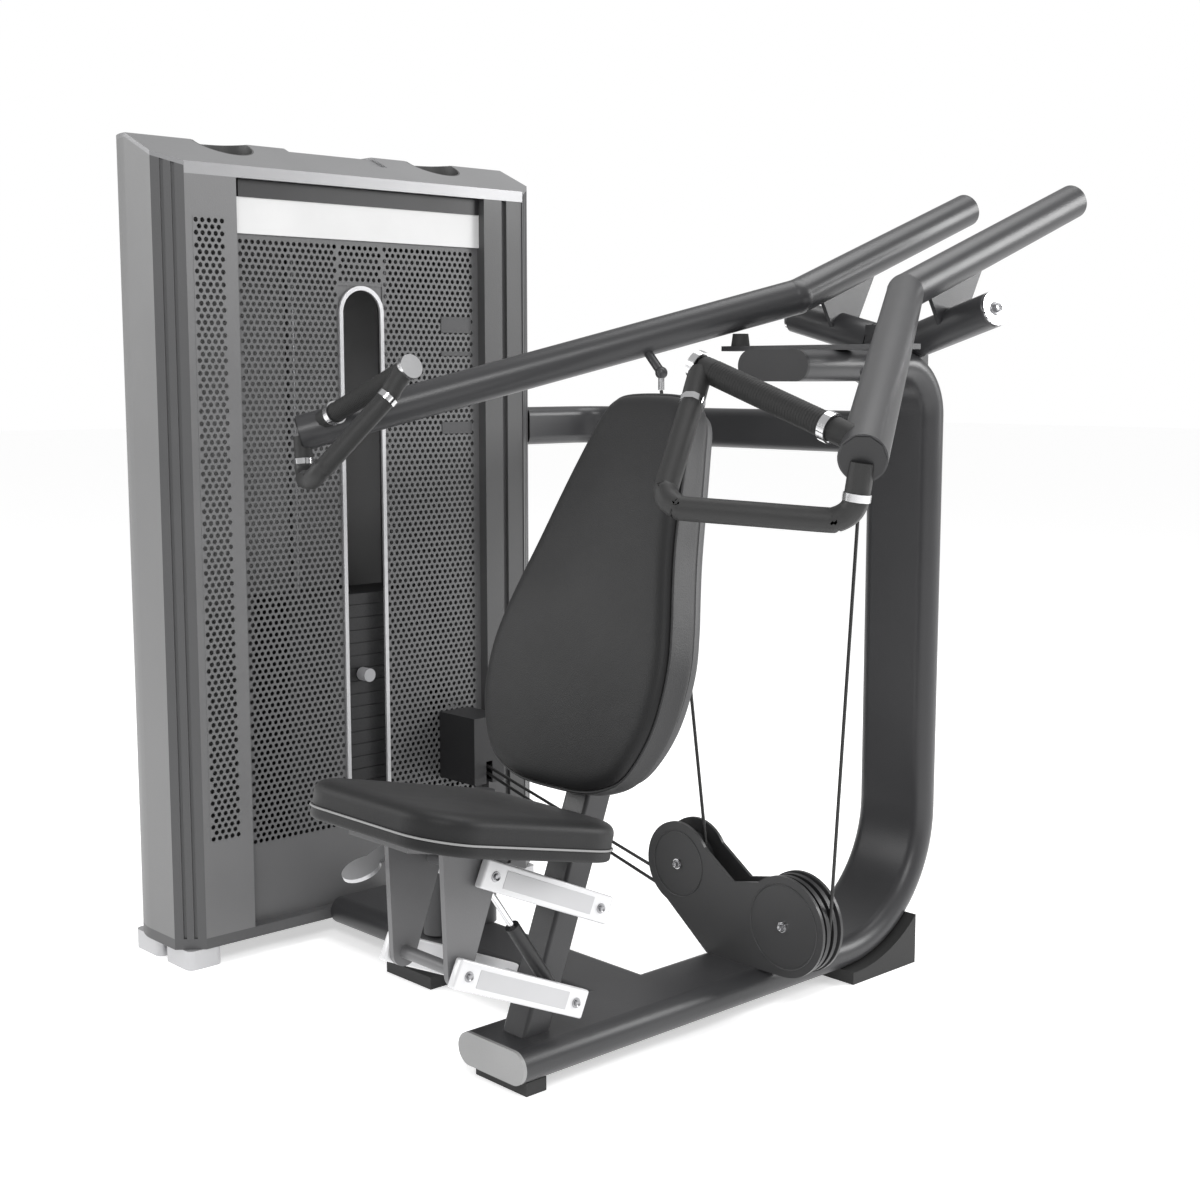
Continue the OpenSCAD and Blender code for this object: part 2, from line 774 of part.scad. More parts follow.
// Paddle under the seat that frees the height setting
module seat_lever() color("#cfcfcf")
    on_seat()
        translate(lever_pivot) {
            rotate([0, 90, 0])
                difference() {
                    cylinder(h = 34, r = lever_barrel_r, center = true);
                    cylinder(h = 40, r = lever_shaft_r + run_fit, center = true);
                }
            rotate([36, 0, 0])
                translate([0, -6, -3])
                    linear_extrude(6) {
                        translate([-17, -96]) square([34, 96]);
                        translate([0, -100]) circle(r = 30);
                    }
        }

// Frame of the gas spring: X from its lower eye to its upper eye
module on_strut() translate([strut_x, low_pivot[0], low_pivot[1]]) side_plane() rotate(strut_angle) children();

module strut_eye(bore) linear_extrude(strut_t, center = true) difference() {
    circle(r = bore + 6);
    circle(r = bore);
}

module strut_tube() color("#1a1a1a")
    on_strut() {
        strut_eye(axle_r + 0.3);
        difference() {
            translate([axle_r + 4, 0, 0]) rotate([0, 90, 0]) cylinder(h = 140, r = 11);
            translate([40, 0, 0]) rotate([0, 90, 0]) cylinder(h = 200, r = 5.3);
            cylinder(h = 40, r = axle_r + 0.3, center = true);
        }
    }

module strut_rod() color("silver")
    on_strut()
        translate([strut_len, 0, 0]) {
            strut_eye(carrier_axle_r + 2.6);
            translate([-carrier_axle_r - 190, 0, 0]) rotate([0, 90, 0]) cylinder(h = 184, r = 5);
        }

// ---- press arms ----

module hub_line(r, from, to) rod(hub_in + from * hub_dir, hub_in + to * hub_dir, 2 * r);

module head_block() color("#2b2b2b")
    difference() {
        union() {
            block([-41, 74, 1060], [41, 154, 1166]);
            for (m = [0, 1]) mirror([m, 0, 0]) hub_line(hub_d / 2, -45, -2);
        }
        frame_path(oval_w, oval_h);
    }

module arm_shafts() color("silver")
    for (m = [0, 1]) mirror([m, 0, 0]) hub_line(shaft_d / 2, -2, hub_len - 6);

module bumper_bar() color("#2b2b2b")
    block([-205, -131, top_arm_z + oval_h / 2], [205, -91, top_arm_z + oval_h / 2 + 9]);

module bumpers() color("#111111")
    for (s = [-1, 1])
        translate([s * 177, -111, top_arm_z + oval_h / 2 + 9]) cylinder(h = 22, d1 = 34, d2 = 28);

module arm_shape() {
    difference() {
        union() {
            rod(stub_end, arm_bend, arm_d);
            translate(arm_bend) sphere(d = arm_d + bead);
            rod(arm_bend, arm_front, arm_d);
            hub_line(hub_d / 2, 0, hub_len);
            translate([arm_bend[0] - 4, 0, 0])
                side_plane() linear_extrude(8) polygon([[76, 1160], [138, 1160], [215, 1300], [30, 1234]]);
            rod([276, -259, 1128], cable_lug, 16);
            translate(cable_lug) sphere(r = 11);
        }
        rod(stub_end + wall * unit(arm_bend - stub_end), arm_bend, arm_d - 2 * wall);
        translate(arm_bend) sphere(d = arm_d - 2 * wall + bead);
        rod(arm_bend, arm_front - wall * unit(arm_front - arm_bend), arm_d - 2 * wall);
        hub_line(shaft_d / 2 + run_fit, -1, hub_len + 1);
    }
}

module handle_shape() swept_bar(handle_route, bar_d / 2);

module grip_shape() rod(grip_inner, grip_outer, grip_d);

// Bright pieces of one arm: hub cap, grip collars and the cable's rod end
module trim_shape() {
    hub_line(hub_d / 2 - 2, hub_len, hub_len + hub_cap_t);
    grip_dir = unit(grip_outer - grip_inner);
    for (s = [-14, 222]) difference() {
        rod(grip_inner + s * grip_dir, grip_inner + (s + 12) * grip_dir, grip_d + 5);
        rod(grip_inner + (s < 0 ? -2 : s - 1) * grip_dir, grip_inner + (s + 20) * grip_dir, grip_d);
    }
    rod([cable_lug[0], cable_lug[1], rod_end_z], cable_lug - [0, 0, 8], 11);
}

module left_arm() color("#3d3d3d") arm_shape();
module left_handle() color("#1f1f1f") handle_shape();
module left_grip() color("#151515") grip_shape();
module left_trim() color("#dcdcdc") trim_shape();
module right_arm() color("#3d3d3d") mirror([1, 0, 0]) arm_shape();
module right_handle() color("#1f1f1f") mirror([1, 0, 0]) handle_shape();
module right_grip() color("#151515") mirror([1, 0, 0]) grip_shape();
module right_trim() color("#dcdcdc") mirror([1, 0, 0]) trim_shape();

// ---- cables ----

module pulley_plate_shape() {
    translate(small_c) circle(r = 75);
    translate(large_c) circle(r = 86);
    polygon([
        [small_c[0] - 60, small_c[1] - 45], [-60, base_tube_top], [60, base_tube_top], [large_c[0], large_c[1] - 86],
        [large_c[0] + 20, large_c[1] + 80], [0, 215], [small_c[0] + 50, small_c[1] + 50], small_c
    ]);
}

module pulley_plates() color("#1c1c1c")
    for (s = [0, 1])
        difference() {
            translate([0, pulley_y - pulley_gap / 2 + s * (pulley_gap + pulley_plate_t), 0])
                front_plane() linear_extrude(pulley_plate_t) pulley_plate_shape();
            frame_path(oval_w, oval_h);
            for (c = [small_c, large_c]) pin_y(c, pulley_axle_r, -far, far);
        }

module pulley_axles() color("silver")
    for (c = [small_c, large_c]) {
        reach = pulley_gap / 2 + pulley_plate_t;
        pin_y(c, pulley_axle_r, pulley_y - reach, pulley_y + reach);
        for (s = [-1, 1]) pin_y(c, 9, pulley_y + s * (reach + 2) - 2, pulley_y + s * (reach + 2) + 2);
    }

module small_pulley() color("#222222")
    translate([small_c[0], pulley_y, small_c[1]]) rotate([90, 0, 0]) sheave(small_r, pulley_w, pulley_axle_r + run_fit, 1.2);

module large_pulley() color("#222222")
    translate([large_c[0], pulley_y, large_c[1]]) rotate([90, 0, 0]) sheave(large_r, pulley_w, pulley_axle_r + run_fit, 1.2);

module left_cable() color("#111111")
    rod([large_c[0] + large_r, pulley_y, large_c[1]], [cable_lug[0], cable_lug[1], rod_end_z - 0.7], cable_d);

module right_cable() color("#111111")
    rod([small_c[0] + small_r, pulley_y, small_c[1]], [-cable_lug[0], cable_lug[1], rod_end_z - 0.7], cable_d);

// Wrap under a pulley and the run to the drum inside the tower
module cable_run(c, r, slope, drum) {
    down = [-sin(atan(slope)), -cos(atan(slope))];
    reach = [drum_x, drum_z] + drum * down;
    wrap = [for (a = [0 : 15 : 90]) c + r * [cos(a), -sin(a)]];
    route = concat(wrap, [c + r * down, reach]);
    swept_bar([for (p = route) [p[0], pulley_y, p[1]]], cable_r, 8);
}

module fixed_cables() color("#111111") {
    cable_run(small_c, small_r, small_slope, drum_r);
    cable_run(large_c, large_r, large_slope, drum_r + 10);
}

tower_base();
tower_feet();
tower_crown();
tower_cap();
cup_holders();
end_panels();
corner_posts();
near_column();
far_column();
rear_shell();
front_panel();
slot_trim();
placard();
header_strip();
label_plates();
guide_rods();
stack_cushions();
lower_plates();
tower_pulleys();
entry_box();
main_frame();
base_end_cap();
top_end_cap();
lower_beam();
middle_post();
upper_beam();
rear_foot();
frame_feet();
seat_post();
pad_brackets();
pad_shell();
back_pad();
head_block();
arm_shafts();
bumper_bar();
bumpers();
pulley_plates();
pulley_axles();
left_arm();
left_handle();
left_grip();
left_trim();
right_arm();
right_handle();
right_grip();
right_trim();
lifted_plates();
selector_pin();
small_pulley();
large_pulley();
upper_links();
lower_links();
seat_carrier();
seat_pad();
seat_lever();
strut_tube();
strut_rod();
left_cable();
right_cable();
fixed_cables();
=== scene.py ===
import math

import bmesh
import bpy
from mathutils import Matrix, Vector


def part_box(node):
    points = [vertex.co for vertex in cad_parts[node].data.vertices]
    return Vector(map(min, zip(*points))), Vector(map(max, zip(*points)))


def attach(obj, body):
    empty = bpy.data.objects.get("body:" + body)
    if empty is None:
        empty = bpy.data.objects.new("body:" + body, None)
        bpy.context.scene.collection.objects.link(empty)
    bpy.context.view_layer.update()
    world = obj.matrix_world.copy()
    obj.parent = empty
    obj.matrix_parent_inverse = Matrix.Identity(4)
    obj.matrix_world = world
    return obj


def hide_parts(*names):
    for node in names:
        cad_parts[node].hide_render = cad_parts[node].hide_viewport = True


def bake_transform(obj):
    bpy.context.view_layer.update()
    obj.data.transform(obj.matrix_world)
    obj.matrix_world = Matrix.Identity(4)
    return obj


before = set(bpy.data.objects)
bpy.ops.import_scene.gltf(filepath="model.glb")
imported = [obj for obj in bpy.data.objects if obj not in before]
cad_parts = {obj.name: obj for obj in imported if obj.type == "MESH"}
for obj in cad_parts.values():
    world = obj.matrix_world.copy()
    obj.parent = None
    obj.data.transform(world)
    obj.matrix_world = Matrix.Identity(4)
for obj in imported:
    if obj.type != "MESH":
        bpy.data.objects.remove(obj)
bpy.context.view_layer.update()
bpy.ops.object.select_all(action="DESELECT")

# ---- Painted frame ----
# The bent main tube, the two beams, the posts and the press arms are steel tube in a
# charcoal powder coat: a fine orange-peel bump, slightly uneven gloss and faint handling marks.


def powder_coat(name, colour, roughness, grain=0.35, scale=420.0, metallic=0.0):
    paint = bpy.data.materials.new(name)
    paint.use_nodes = True
    nodes, links = paint.node_tree.nodes, paint.node_tree.links
    shader = nodes["Principled BSDF"]
    shader.inputs["Metallic"].default_value = metallic
    shader.inputs["Specular IOR Level"].default_value = 0.45
    place = nodes.new("ShaderNodeTexCoord")
    peel = nodes.new("ShaderNodeTexNoise")
    peel.inputs["Scale"].default_value = scale
    peel.inputs["Detail"].default_value = 3.0
    bump = nodes.new("ShaderNodeBump")
    bump.inputs["Strength"].default_value = grain
    bump.inputs["Distance"].default_value = 0.0006
    cloud = nodes.new("ShaderNodeTexNoise")
    cloud.inputs["Scale"].default_value = 7.0
    cloud.inputs["Detail"].default_value = 5.0
    tint = nodes.new("ShaderNodeValToRGB")
    tint.color_ramp.elements[0].position = 0.3
    tint.color_ramp.elements[0].color = [c * 0.96 for c in colour] + [1]
    tint.color_ramp.elements[1].position = 0.7
    tint.color_ramp.elements[1].color = [min(1.0, c * 1.04) for c in colour] + [1]
    gloss = nodes.new("ShaderNodeMapRange")
    gloss.inputs["To Min"].default_value = roughness - 0.06
    gloss.inputs["To Max"].default_value = roughness + 0.08
    links.new(place.outputs["Object"], peel.inputs["Vector"])
    links.new(place.outputs["Object"], cloud.inputs["Vector"])
    links.new(peel.outputs["Fac"], bump.inputs["Height"])
    links.new(bump.outputs["Normal"], shader.inputs["Normal"])
    links.new(cloud.outputs["Fac"], tint.inputs["Fac"])
    links.new(tint.outputs["Color"], shader.inputs["Base Color"])
    links.new(cloud.outputs["Fac"], gloss.inputs["Value"])
    links.new(gloss.outputs["Result"], shader.inputs["Roughness"])
    return paint


def dress(material, *names):
    for name in names:
        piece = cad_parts[name]
        piece.data.materials.clear()
        piece.data.materials.append(material)


charcoal = powder_coat("charcoal_coat", (0.036, 0.036, 0.038), 0.34)
dress(charcoal, "main_frame", "lower_beam", "middle_post", "upper_beam", "seat_post")
dress(charcoal, "pad_brackets", "head_block", "bumper_bar", "left_arm", "right_arm")

# ---- Feet and end caps ----
# Moulded rubber blocks carry the frame, and plastic caps close the two ends of the main tube.
foot_rubber = powder_coat("foot_rubber", (0.028, 0.028, 0.028), 0.72, 0.5, 260.0)
dress(foot_rubber, "rear_foot", "frame_feet", "bumpers", "stack_cushions")
grey_cap = powder_coat("grey_cap", (0.30, 0.30, 0.30), 0.45, 0.2, 300.0)
dress(grey_cap, "base_end_cap")
black_plastic = powder_coat("black_plastic", (0.016, 0.016, 0.017), 0.42, 0.3, 350.0)
dress(black_plastic, "top_end_cap", "entry_box", "tower_pulleys", "small_pulley", "large_pulley")

# ---- Bright metal ----
# Shafts, guide rods, collars and the gas spring's rod are chromed steel with fine turning
# marks; the tower's feet, cap and slot rim are silver-coated aluminium.


def bright_metal(name, colour, roughness, scale=900.0):
    metal = powder_coat(name, colour, roughness, 0.06, scale, 1.0)
    return metal


chrome = bright_metal("chrome", (0.72, 0.72, 0.73), 0.14)
rod_steel = bright_metal("rod_steel", (0.20, 0.20, 0.205), 0.4)
dress(rod_steel, "guide_rods")
dress(chrome, "arm_shafts", "pulley_axles", "strut_rod", "left_trim", "right_trim")
silver = powder_coat("silver_coat", (0.50, 0.50, 0.51), 0.34, 0.25, 700.0, 0.55)
dress(silver, "tower_feet", "slot_trim", "seat_lever")
cap_silver = powder_coat("cap_silver", (0.25, 0.25, 0.255), 0.34, 0.25, 700.0, 0.45)
dress(cap_silver, "tower_cap")
carrier_grey = powder_coat("carrier_grey", (0.13, 0.13, 0.133), 0.4)
dress(carrier_grey, "seat_carrier")
dress(black_plastic, "strut_tube", "header_strip")

# ---- Weight tower ----
# Steel end panels and a bent rear shell in mid grey, grooved dark corner extrusions, folded
# columns, and moulded black cups let into the cap.
end_grey = powder_coat("end_grey", (0.165, 0.165, 0.166), 0.42)
dress(end_grey, "end_panels", "rear_shell")
column_grey = powder_coat("column_grey", (0.14, 0.14, 0.142), 0.42)
# The far column is the same folded grey steel as the near column. Its darker grey is painted shade.
far_column_painted_shade = powder_coat("far_column_painted_shade", (0.06, 0.06, 0.061), 0.42)
dress(far_column_painted_shade, "far_column")
corner_dark = powder_coat("corner_dark", (0.075, 0.075, 0.077), 0.45)
dress(corner_dark, "corner_posts", "tower_base", "tower_crown")
cup_plastic = powder_coat("cup_plastic", (0.07, 0.07, 0.07), 0.5)
dress(cup_plastic, "cup_holders")
placard_white = powder_coat("placard_white", (0.60, 0.60, 0.60), 0.5, 0.1)
dress(placard_white, "placard")
label_dark = powder_coat("label_dark", (0.045, 0.045, 0.047), 0.45, 0.1)
dress(label_dark, "label_plates")
iron = powder_coat("stack_iron", (0.014, 0.014, 0.015), 0.55, 0.8, 160.0)
dress(iron, "lower_plates", "lifted_plates")
pin_grip = powder_coat("pin_grip", (0.30, 0.30, 0.31), 0.3, 0.2)
dress(pin_grip, "selector_pin")

# ---- Perforated sheets ----
# The tower's front and its near column are sheet steel, punched with staggered round holes
# between plain margins. One punched cell is repeated along a row and up the sheet.
mesh_grey = powder_coat("mesh_grey", (0.105, 0.105, 0.107), 0.42)


def settle(piece):
    bpy.ops.object.select_all(action="DESELECT")
    piece.select_set(True)
    bpy.context.view_layer.objects.active = piece
    bpy.ops.object.convert(target="MESH")
    bpy.ops.object.transform_apply(location=True, rotation=True, scale=True)
    piece.select_set(False)
    return piece


def join(name, parts):
    bpy.ops.object.select_all(action="DESELECT")
    for part in parts:
        part.select_set(True)
    bpy.context.view_layer.objects.active = parts[0]
    bpy.ops.object.join()
    parts[0].name = name
    parts[0].data.name = name
    parts[0].select_set(False)
    return parts[0]


def finish_piece(piece, material, body, slot, *nodes):
    piece.data.materials.clear()
    piece.data.materials.append(material)
    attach(piece, body)
    if nodes:
        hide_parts(*nodes)
    return piece


def plain_box(low, high, bevel=0.0):
    middle = (Vector(low) + Vector(high)) / 2
    size = Vector(high) - Vector(low)
    bpy.ops.mesh.primitive_cube_add(size=1, location=middle)
    made = bpy.context.object
    made.scale = size
    bpy.ops.object.transform_apply(location=True, rotation=True, scale=True)
    if bevel:
        round_edges = made.modifiers.new("round_edges", "BEVEL")
        round_edges.width = bevel
        round_edges.segments = 3
        round_edges.limit_method = "ANGLE"
    return settle(made)


def punched_sheet(x, y0, y1, z0, z1, pitch, hole):
    rows = max(1, round((z1 - z0) / (pitch * 0.866)))
    columns = max(1, round((y1 - y0) / pitch))
    width, height = (y1 - y0) / columns, (z1 - z0) / rows
    bpy.ops.mesh.primitive_circle_add(vertices=8, radius=hole / 2, fill_type="NOTHING", rotation=(0, math.pi / 2, 0))
    cell = bpy.context.object
    bpy.ops.object.transform_apply(location=True, rotation=True, scale=True)
    shape = bmesh.new()
    shape.from_mesh(cell.data)
    shape.transform(Matrix.Rotation(math.radians(22.5), 4, "X"))
    rim = list(shape.edges)
    grown = bmesh.ops.extrude_edge_only(shape, edges=rim)["geom"]
    for v in [g for g in grown if isinstance(g, bmesh.types.BMVert)]:
        side = max(abs(v.co.y) / (width / 2), abs(v.co.z) / (height / 2))
        v.co.y, v.co.z = v.co.y / side, v.co.z / side
        for axis, half in ((1, width / 2), (2, height / 2)):
            if abs(abs(v.co[axis]) - half) > 1e-6:
                v.co[axis] = math.copysign(half, v.co[axis]) * min(1, abs(v.co[axis]) / half * 2.414)
    bmesh.ops.remove_doubles(shape, verts=shape.verts, dist=1e-6)
    shape.transform(Matrix.Translation((x, y0 + width / 2, z0 + height / 2)))
    shape.to_mesh(cell.data)
    shape.free()
    row = cell.modifiers.new("row", "ARRAY")
    row.use_relative_offset = False
    row.use_constant_offset = True
    row.constant_offset_displace = (0, width, 0)
    row.count = columns
    upper = cell.copy()
    upper.data = cell.data.copy()
    bpy.context.collection.objects.link(upper)
    upper.modifiers["row"].count = columns - 1
    for v in upper.data.vertices:
        v.co.y += width / 2
        v.co.z += height
    ends = []
    for k in range(rows // 2):
        low = z0 + height * (2 * k + 1)
        for a, b in ((y0, y0 + width / 2), (y1 - width / 2, y1)):
            bpy.ops.mesh.primitive_plane_add(size=1, location=(x, (a + b) / 2, low + height / 2), rotation=(0, math.pi / 2, 0))
            end = bpy.context.object
            end.scale = (height, b - a, 1)
            ends.append(settle(end))
    sheets = []
    for piece, count in ((cell, (rows + 1) // 2), (upper, rows // 2)):
        stack = piece.modifiers.new("stack", "ARRAY")
        stack.use_relative_offset = False
        stack.use_constant_offset = True
        stack.constant_offset_displace = (0, 0, height * 2)
        stack.count = max(1, count)
        sheets.append(settle(piece))
    return sheets + ends


front_low, front_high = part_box("front_panel")
trim_low, trim_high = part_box("slot_trim")
placard_low, placard_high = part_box("placard")
panel_face = front_high.x
punch_low, punch_high = 0.205, placard_low.z - 0.008
near_edge, far_edge = front_low.y + 0.012, front_high.y - 0.012
slot_near, slot_far = trim_low.y, trim_high.y
arch_z = trim_high.z


def sheet_strip(y0, y1, z0, z1, x=None, back=None):
    x1 = panel_face if x is None else x
    return plain_box((x1 - 0.0022 if back is None else back, y0, z0), (x1, y1, z1))


sheet_x = panel_face - 0.0004
front_parts = punched_sheet(sheet_x, near_edge, slot_near, punch_low, punch_high, 0.0128, 0.0088)
front_parts += punched_sheet(sheet_x, slot_far, far_edge, punch_low, punch_high, 0.0128, 0.0088)
front_parts += punched_sheet(sheet_x, slot_near, slot_far, arch_z + 0.006, punch_high, 0.0128, 0.0088)
front_sheet = join("front_perforated_sheet", front_parts)
thickness = front_sheet.modifiers.new("thickness", "SOLIDIFY")
thickness.thickness = 0.0018
thickness.offset = 0
settle(front_sheet)
finish_piece(front_sheet, mesh_grey, "frame", "mesh_grey", "front_panel")

# The plain margins round the punched fields, and the rounded corners over the slot's arch.
margins = [
    sheet_strip(front_low.y, near_edge, front_low.z, front_high.z),
    sheet_strip(far_edge, front_high.y, front_low.z, front_high.z),
    sheet_strip(near_edge, far_edge, front_low.z, punch_low),
    sheet_strip(near_edge, far_edge, punch_high, front_high.z),
    sheet_strip(slot_near, slot_far, arch_z, arch_z + 0.006),
]
slot_mid = (slot_near + slot_far) / 2
slot_half = (slot_far - slot_near) / 2
for side in (-1, 1):
    spandrel = bmesh.new()
    ring = [(slot_mid + side * slot_half, arch_z), (slot_mid, arch_z)]
    ring += [
        (slot_mid + side * (slot_half - 0.003) * math.sin(math.radians(a)),
         arch_z - slot_half + (slot_half - 0.003) * math.cos(math.radians(a)))
        for a in range(0, 91, 6)
    ]
    ring.append((slot_mid + side * slot_half, arch_z - slot_half))
    face = spandrel.faces.new([spandrel.verts.new((panel_face - 0.0015, y, z)) for y, z in ring])
    if face.normal.x < 0:
        face.normal_flip()
    bpy.ops.mesh.primitive_plane_add(size=1)
    corner = bpy.context.object
    spandrel.to_mesh(corner.data)
    spandrel.free()
    margins.append(settle(corner))
front_margin = join("front_plain_margins", margins)
finish_piece(front_margin, mesh_grey, "frame", "mesh_grey")

# ---- Near column ----
# A folded steel column beside the front, with a long punched strip down its middle.
column_low, column_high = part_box("near_column")
strip_y0, strip_y1, strip_z0, strip_z1 = column_low.y + 0.014, column_high.y - 0.024, 0.233, 1.35
column_parts = punched_sheet(column_high.x - 0.0005, strip_y0, strip_y1, strip_z0, strip_z1, 0.0128, 0.0092)
column_sheet = join("near_column_strip", column_parts)
column_wall = column_sheet.modifiers.new("thickness", "SOLIDIFY")
column_wall.thickness = 0.0018
column_wall.offset = 0
settle(column_sheet)
finish_piece(column_sheet, column_grey, "frame", "column_grey", "near_column")
column_x = column_high.x
column_back = column_x - 0.0025
column_plain = join("near_column_face", [
    sheet_strip(column_low.y, strip_y0, column_low.z, column_high.z, column_x, column_back),
    sheet_strip(strip_y1, column_high.y, column_low.z, column_high.z, column_x, column_back),
    sheet_strip(strip_y0, strip_y1, column_low.z, strip_z0, column_x, column_back),
    sheet_strip(strip_y0, strip_y1, strip_z1, column_high.z, column_x, column_back),
    plain_box((column_low.x, column_high.y - 0.003, column_low.z), (column_back, column_high.y, column_high.z)),
])
finish_piece(column_plain, column_grey, "frame", "column_grey")

# ---- Back pad ----
# A tall tapering pad of foam under black vinyl, bowed forward in the middle. The front panel
# and the side band are sewn together with a thin piping, and it stands on a moulded shell.
LEAN = math.radians(20.5)
POST_FOOT = Vector((0.0, -0.780, 0.075))
BACK_LOW, BACK_LEN = 0.382, 0.622
BACK_OUTLINE = [
    (0.0, -0.012), (0.062, -0.010), (0.108, 0.000), (0.146, 0.020), (0.172, 0.055), (0.190, 0.100),
    (0.197, 0.150), (0.195, 0.205), (0.182, 0.262), (0.166, 0.315), (0.150, 0.370), (0.136, 0.428),
    (0.122, 0.490), (0.109, 0.545), (0.098, 0.588), (0.084, 0.610), (0.060, 0.621), (0.0, 0.624)
]


def on_post(x, u, n):
    forward = Vector((0, -math.cos(LEAN), math.sin(LEAN)))
    along = Vector((0, math.sin(LEAN), math.cos(LEAN)))
    return POST_FOOT + Vector((x, 0, 0)) + u * along + n * forward


def smooth_loop(half, steps):
    loop = half + [(-x, u) for x, u in reversed(half[1:-1])]
    count, made = len(loop), []
    for i in range(count):
        a, b, c, d = (loop[(i + k - 1) % count] for k in range(4))
        for s in range(steps):
            t = s / steps
            made.append(tuple(
                0.5 * (2 * b[k] + (c[k] - a[k]) * t + (2 * a[k] - 5 * b[k] + 4 * c[k] - d[k]) * t * t
                       + (3 * b[k] - a[k] - 3 * c[k] + d[k]) * t ** 3)
                for k in (0, 1)))
    return made


def inset_loop(loop, amount):
    count, made = len(loop), []
    for i, (x, u) in enumerate(loop):
        (ax, au), (bx, bu) = loop[i - 1], loop[(i + 1) % count]
        dx, du = bx - ax, bu - au
        length = math.hypot(dx, du) or 1.0
        made.append((x - amount * du / length, u + amount * dx / length))
    return made


def lofted_pad(name, loop, levels, centre, place, crown):
    # levels are (inset, height) rings from the back to the front's edge; the front closes over crown
    shape = bmesh.new()
    area = sum(a[0] * b[1] - b[0] * a[1] for a, b in zip(loop, loop[1:] + loop[:1]))
    sign = 1 if area > 0 else -1
    rings = []
    for inset, height in levels:
        ring = inset_loop(loop, sign * inset)
        rings.append([shape.verts.new(place(x, u, height(x, u))) for x, u in ring])
    edge = inset_loop(loop, sign * levels[-1][0])
    for share in (0.94, 0.86, 0.74, 0.6, 0.45, 0.3, 0.15):
        ring = [(centre[0] + share * (x - centre[0]), centre[1] + share * (u - centre[1])) for x, u in edge]
        rings.append([shape.verts.new(place(x, u, crown(x, u, share))) for x, u in ring])
    top = shape.verts.new(place(*centre, crown(*centre, 0)))
    back = shape.verts.new(place(*centre, levels[0][1](*centre)))
    count = len(loop)
    for a, b in zip(rings, rings[1:]):
        for i in range(count):
            j = (i + 1) % count
            shape.faces.new((a[i], a[j], b[j], b[i]))
    for i in range(count):
        j = (i + 1) % count
        shape.faces.new((rings[-1][i], rings[-1][j], top))
        shape.faces.new((rings[0][j], rings[0][i], back))
    bmesh.ops.recalc_face_normals(shape, faces=shape.faces)
    mesh = bpy.data.meshes.new(name)
    shape.to_mesh(mesh)
    shape.free()
    made = bpy.data.objects.new(name, mesh)
    bpy.context.collection.objects.link(made)
    return made


def smooth(piece, angle=40):
    bpy.ops.object.select_all(action="DESELECT")
    piece.select_set(True)
    bpy.context.view_layer.objects.active = piece
    bpy.ops.object.shade_smooth_by_angle(angle=math.radians(angle))
    piece.select_set(False)
    return piece


def vinyl(name, colour, roughness, crease=0.35):
    cover = powder_coat(name, colour, roughness, 0.45, 520.0)
    nodes, links = cover.node_tree.nodes, cover.node_tree.links
    shader = nodes["Principled BSDF"]
    shader.inputs["Specular IOR Level"].default_value = 0.3
    shader.inputs["Sheen Weight"].default_value = 0.04
    grain = nodes.new("ShaderNodeTexVoronoi")
    grain.inputs["Scale"].default_value = 430.0
    ripple = nodes.new("ShaderNodeTexNoise")
    ripple.inputs["Scale"].default_value = 14.0
    ripple.inputs["Detail"].default_value = 2.0
    pebble = nodes.new("ShaderNodeBump")
    pebble.inputs["Strength"].default_value = 0.25
    pebble.inputs["Distance"].default_value = 0.0005
    fold = nodes.new("ShaderNodeBump")
    fold.inputs["Strength"].default_value = crease
    fold.inputs["Distance"].default_value = 0.004
    place = next(n for n in nodes if n.type == "TEX_COORD")
    base = next(n for n in nodes if n.type == "BUMP" and n not in (pebble, fold))
    links.new(place.outputs["Object"], grain.inputs["Vector"])
    links.new(place.outputs["Object"], ripple.inputs["Vector"])
    links.new(grain.outputs["Distance"], pebble.inputs["Height"])
    links.new(ripple.outputs["Fac"], fold.inputs["Height"])
    links.new(fold.outputs["Normal"], pebble.inputs["Normal"])
    links.new(pebble.outputs["Normal"], base.inputs["Normal"])
    return cover


def piping(name, points, radius, closed=True):
    curve = bpy.data.curves.new(name, "CURVE")
    curve.dimensions = "3D"
    curve.bevel_depth = radius
    curve.bevel_resolution = 3
    line = curve.splines.new("POLY")
    line.points.add(len(points) - 1)
    for point, place in zip(line.points, points):
        point.co = (*place, 1)
    line.use_cyclic_u = closed
    curve.use_fill_caps = not closed
    made = bpy.data.objects.new(name, curve)
    bpy.context.collection.objects.link(made)
    return smooth(settle(made), 60)


BACK_TOP_N, BACK_END_N = 0.1195, 0.0995


def back_front(u):
    share = (u - BACK_LEN / 2) / (BACK_LEN / 2)
    return BACK_END_N + (BACK_TOP_N - BACK_END_N) * max(0.0, 1 - share * share)


back_loop = smooth_loop(BACK_OUTLINE, 5)
pad_levels = [
    (0.010, lambda x, u: 0.0458), (0.002, lambda x, u: 0.0475), (0.0, lambda x, u: 0.052),
    (0.0015, lambda x, u: 0.062), (0.0022, lambda x, u: back_front(u) - 0.030),
    (0.0012, lambda x, u: back_front(u) - 0.021), (0.0030, lambda x, u: back_front(u) - 0.0185),
    (0.0016, lambda x, u: back_front(u) - 0.016), (0.0050, lambda x, u: back_front(u) - 0.0095),
    (0.0120, lambda x, u: back_front(u) - 0.0050), (0.0210, lambda x, u: back_front(u) - 0.0028)
]
back_pad = lofted_pad(
    "back_cushion", back_loop, pad_levels, (0.0, 0.27), lambda x, u, n: on_post(x, BACK_LOW + u, n),
    lambda x, u, share: back_front(u) - 0.0026 * share * share)
rounding = back_pad.modifiers.new("rounding", "SUBSURF")
rounding.levels = rounding.render_levels = 1
settle(back_pad)
bpy.context.view_layer.objects.active = back_pad
